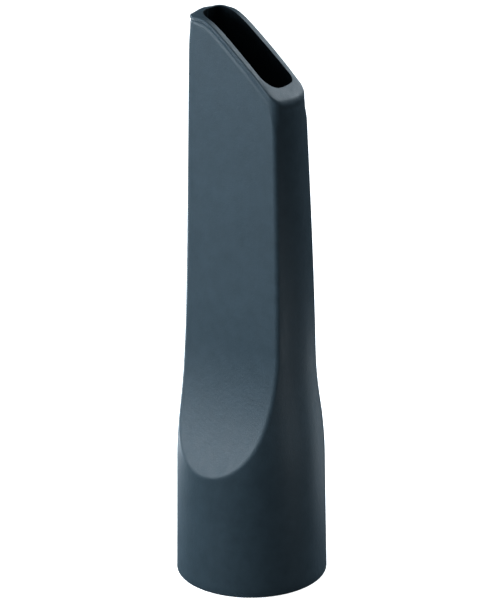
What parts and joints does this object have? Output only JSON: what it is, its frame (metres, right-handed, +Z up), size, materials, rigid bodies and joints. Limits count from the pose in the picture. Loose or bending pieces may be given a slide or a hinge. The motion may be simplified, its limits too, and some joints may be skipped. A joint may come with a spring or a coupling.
{
  "type": "crevice nozzle",
  "caption": "Flat tapered crevice nozzle for a vacuum cleaner, with a slanted mouth and a round slip-on socket.",
  "frame": {"origin": "centre of the socket's rim, on the surface that the nozzle stands on", "axes": "+Z up the nozzle from the socket to the mouth, +X across the blade's width towards the low side of the slanted mouth, +Y through the blade's thickness"},
  "size_m": [0.04, 0.04, 0.1527],
  "materials": {
    "moulded_plastic": "dark slate blue-grey moulded plastic with a fine matte spark texture"
  },
  "bodies": {
    "root": {"nozzle_body": "moulded_plastic"}
  },
  "joints": []
}
